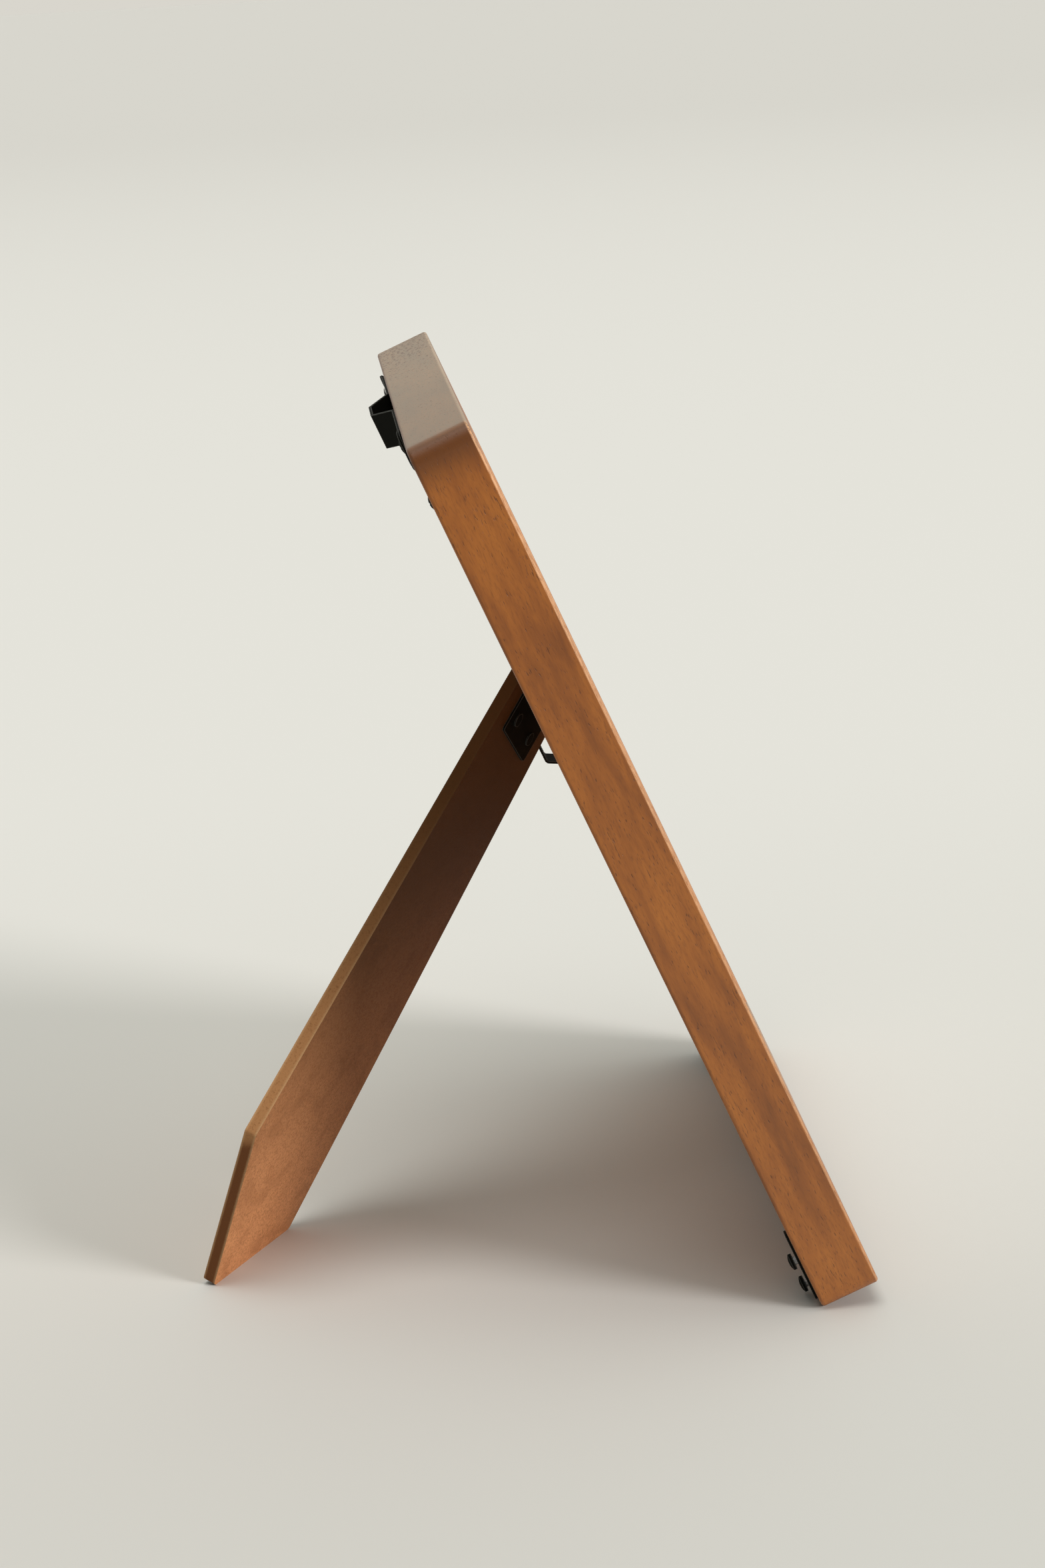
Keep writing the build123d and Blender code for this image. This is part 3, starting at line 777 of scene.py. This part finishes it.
class PHOTOFRAME_OT_steel(bpy.types.Operator):
    """Gives the V-nails, the flexible points and the hinge pin their bare steel"""

    bl_idname = "photoframe.steel"
    bl_label = "Finish the bare steel"

    def execute(self, context):
        material = steel_material(context.scene.photoframe_hardware)
        for name in STEEL_NODES:
            dress(name, material)
        return {"FINISHED"}


class PHOTOFRAME_OT_glazing(bpy.types.Operator):
    """Gives the glass and the paper behind it their finish"""

    bl_idname = "photoframe.glazing"
    bl_label = "Finish the glass and paper"

    def execute(self, context):
        settings = context.scene.photoframe_glazing
        finishes = {"glass_pane": glass_material(settings), "photo_print": paper_material(settings)}
        for name, material in finishes.items():
            dress(name, material)
            draw_in(name, HAIRLINE)
        return {"FINISHED"}


class PHOTOFRAME_OT_studio(bpy.types.Operator):
    """Sets up the floor, the light and the camera"""

    bl_idname = "photoframe.studio"
    bl_label = "Set up the studio"

    def execute(self, context):
        settings = context.scene.photoframe_studio
        self.lay_floor(context, settings)
        self.light(context, settings)
        self.set_camera(context, settings)
        context.scene.view_settings.view_transform = "Standard"
        return {"FINISHED"}

    def lay_floor(self, context, settings):
        """The floor that the object stands on, out to the horizon."""
        floor = bpy.data.objects.new("Floor", floor_mesh(FLOOR_REACH))
        floor.data.materials.append(floor_material(settings))
        context.scene.collection.objects.link(floor)

    def light(self, context, settings):
        """A low lamp from the front on the camera's side, a wide one above, and the room's soft light."""
        level = Vector((sin(settings.key_turn), -cos(settings.key_turn), 0)) * cos(settings.key_height)
        low = level + Vector((0, 0, sin(settings.key_height)))
        self.hang_lamp(context, "Key", settings.key_strength, settings.key_spread, low)
        upright = cos(settings.overhead_tilt) * cos(settings.overhead_side)
        above = Vector((-sin(settings.overhead_side), sin(settings.overhead_tilt), upright))
        strength, spread = settings.overhead_strength, settings.overhead_spread
        self.hang_lamp(context, "Overhead", strength, spread, above).color = settings.overhead_colour
        context.scene.world = studio_world(settings)

    def hang_lamp(self, context, name, strength, spread, towards):
        """A far lamp in a direction, as wide as its spread."""
        lamp = bpy.data.lights.new(name, "SUN")
        lamp.energy = strength
        lamp.angle = spread
        hung = bpy.data.objects.new(name, lamp)
        hung.location = towards
        hung.rotation_euler = (-towards).to_track_quat("-Z", "Y").to_euler()
        context.scene.collection.objects.link(hung)
        return lamp

    def set_camera(self, context, settings):
        """The camera at the photograph's place, looking as it looked."""
        turn, tilt, roll = settings.camera_turn, settings.camera_tilt, settings.camera_roll
        forward = Vector((cos(turn) * cos(tilt), -sin(turn) * cos(tilt), -sin(tilt)))
        right = Vector((-sin(turn), -cos(turn), 0))
        up = right.cross(forward)
        across = right * cos(roll) + up * sin(roll)
        upward = up * cos(roll) - right * sin(roll)
        lens = bpy.data.cameras.new("Camera")
        lens.sensor_fit = "VERTICAL"
        lens.sensor_height = SENSOR
        lens.lens = SENSOR * settings.focal_pixels / IMAGE_HEIGHT
        lens.clip_start, lens.clip_end = CLIP
        camera = bpy.data.objects.new("Camera", lens)
        context.scene.collection.objects.link(camera)
        turned = Matrix((across, upward, -forward)).transposed().to_4x4()
        camera.matrix_world = Matrix.Translation(settings.camera_place) @ turned
        context.scene.camera = camera


class PHOTOFRAME_PT_panel(bpy.types.Panel):
    """Lists the frame's finishes and its studio"""

    bl_label = "Photo Frame"
    bl_idname = "PHOTOFRAME_PT_panel"
    bl_space_type = "VIEW_3D"
    bl_region_type = "UI"
    bl_category = "Photo Frame"

    def draw(self, context):
        for operator, group in STEPS:
            column = self.layout.column(align=True)
            column.operator(operator)
            settings = getattr(context.scene, group)
            for key in type(settings).__annotations__:
                column.prop(settings, key)


STEPS = (
    ("photoframe.timber", "photoframe_timber"),
    ("photoframe.boards", "photoframe_boards"),
    ("photoframe.black", "photoframe_hardware"),
    ("photoframe.steel", "photoframe_hardware"),
    ("photoframe.glazing", "photoframe_glazing"),
    ("photoframe.studio", "photoframe_studio"),
)
GROUPS = {
    "photoframe_timber": TimberSettings,
    "photoframe_boards": BoardSettings,
    "photoframe_hardware": HardwareSettings,
    "photoframe_glazing": GlazingSettings,
    "photoframe_studio": StudioSettings,
}
CLASSES = (
    *GROUPS.values(),
    PHOTOFRAME_OT_timber,
    PHOTOFRAME_OT_boards,
    PHOTOFRAME_OT_black,
    PHOTOFRAME_OT_steel,
    PHOTOFRAME_OT_glazing,
    PHOTOFRAME_OT_studio,
    PHOTOFRAME_PT_panel,
)


def register():
    for one in CLASSES:
        bpy.utils.register_class(one)
    for name, group in GROUPS.items():
        setattr(bpy.types.Scene, name, PointerProperty(type=group))


def unregister():
    for name in GROUPS:
        delattr(bpy.types.Scene, name)
    for one in reversed(CLASSES):
        bpy.utils.unregister_class(one)


def main():
    register()
    bpy.ops.photoframe.timber()
    bpy.ops.photoframe.boards()
    bpy.ops.photoframe.black()
    bpy.ops.photoframe.steel()
    bpy.ops.photoframe.glazing()
    bpy.ops.photoframe.studio()


if __name__ == "__main__":
    main()
